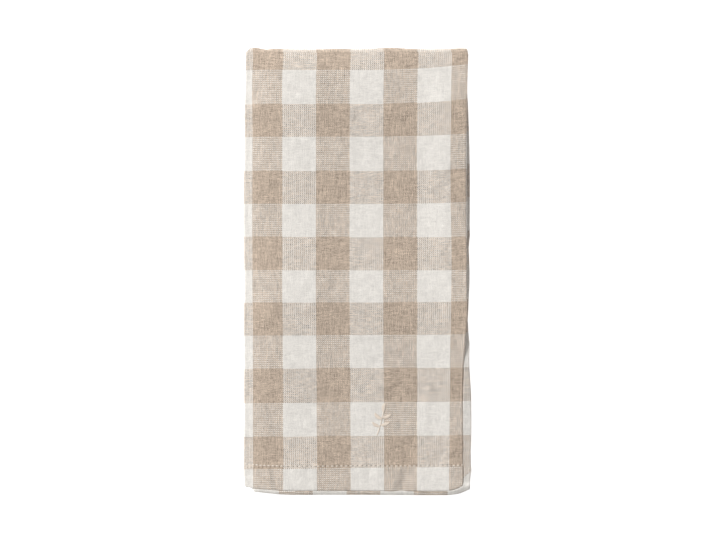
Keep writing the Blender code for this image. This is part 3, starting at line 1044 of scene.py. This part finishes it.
def sewSprig():
    satin = spunThread("sprig_thread", thread["sprigColour"])
    count = sprig["stemStitches"]
    stem = [onCloth(*stemPlace(step / count)) for step in range(count + 1)]
    sizes = {"Long": sprig["stemLong"] * mm, "Wide": sprig["stemWide"] * mm, "High": sprig["high"] * mm,
             "Turn": 0.0, "Taper": 0.0, "Uneven": sprig["stemUneven"], "Seed": 11}
    pieces = [layStitches("sprig_stem", [stem], sizes, satin)]
    for number, leaf in enumerate(sprig["leaves"]):
        start = stemPlace(leaf["share"])
        heading = math.radians(leaf["heading"])
        ahead = Vector((math.cos(heading), math.sin(heading)))
        aside = Vector((-ahead.y, ahead.x)) * (1 if number % 2 else -1)
        count = round(leaf["long"] / sprig["spacing"])
        spine = []
        for step in range(count + 1):
            share = step / count
            bend = sprig["leafBend"] * math.sin(math.pi * share)
            place = start + ahead * leaf["long"] * share + aside * bend
            spine.append(onCloth(place.x, place.y))
        sizes = {"Long": leaf["wide"] * mm, "Wide": sprig["satinWide"] * mm, "High": sprig["high"] * mm,
                 "Turn": math.radians(sprig["slant"]), "Taper": 1.0, "Uneven": sprig["satinUneven"],
                 "Seed": 20 + number}
        pieces.append(layStitches(f"sprig_leaf_{number + 1}", [spine], sizes, satin))
    return pieces


sprigPieces = sewSprig()
print("sprig sewn")

# Floor, light and camera

studio = {
    "floorColour": (0.90, 0.90, 0.90, 1.0),
    "floorGlow": 0.75,
    "floorHalf": 3.0,
    "floorDrop": 0.0003,         # clear of the cloth's underside
    "fill": 0.36,
    "keyTurn": 142.0,            # from the left, towards the top edge
    "keyRise": 40.0,
    "keyFar": 2.8,
    "keySize": 1.4,
    "keyPower": 88.0,
    "cameraHigh": 1.2,
    "viewWide": 0.3573,
    "aimX": 0.00037,
    "aimY": 0.00117,
}


def areaLight(name, place, aim, size, power):
    data = bpy.data.lights.new(name, "AREA")
    data.shape = "DISK"
    data.size = size
    data.energy = power
    light = addObject(name, data)
    light.location = place
    light.rotation_euler = (Vector(aim) - Vector(place)).to_track_quat("-Z", "Y").to_euler()


def setStudio():
    material, shader = newMaterial("paper_floor")[::2]
    shader.inputs["Base Color"].default_value = studio["floorColour"]
    shader.inputs["Roughness"].default_value = 1.0
    shader.inputs["Specular IOR Level"].default_value = 0.0
    shader.inputs["Emission Color"].default_value = (1.0, 1.0, 1.0, 1.0)
    shader.inputs["Emission Strength"].default_value = studio["floorGlow"]
    half, low = studio["floorHalf"], napkinLow[2] - studio["floorDrop"]
    mesh = bpy.data.meshes.new("floor")
    floorCorners = [(-half, -half, low), (half, -half, low), (half, half, low), (-half, half, low)]
    mesh.from_pydata(floorCorners, [], [(0, 1, 2, 3)])
    mesh.materials.append(material)
    floor = addObject("floor", mesh)
    world = bpy.data.worlds.new("soft_room")
    bpy.context.scene.world = world
    world.use_nodes = True
    world.node_tree.nodes["Background"].inputs[0].default_value = (1.0, 1.0, 1.0, 1.0)
    world.node_tree.nodes["Background"].inputs[1].default_value = studio["fill"]
    turn, rise, far = math.radians(studio["keyTurn"]), math.radians(studio["keyRise"]), studio["keyFar"]
    level = far * math.cos(rise)
    place = (level * math.cos(turn), level * math.sin(turn), far * math.sin(rise))
    areaLight("key", place, (0.0, 0.0, 0.0), studio["keySize"], studio["keyPower"])
    bpy.context.scene.view_settings.view_transform = "Standard"
    camera = bpy.data.cameras.new("camera")
    camera.sensor_width = 36.0
    camera.lens = camera.sensor_width * studio["cameraHigh"] / studio["viewWide"]
    camera.clip_end = 20.0
    stand = addObject("camera", camera)
    stand.location = (studio["aimX"], studio["aimY"], napkinHigh[2] + studio["cameraHigh"])
    bpy.context.scene.camera = stand


setStudio()
print("studio set")

sewn = [hemPiece] + sprigPieces
for piece in [clothPiece] + sewn:
    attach(piece, "root")
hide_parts("napkin")
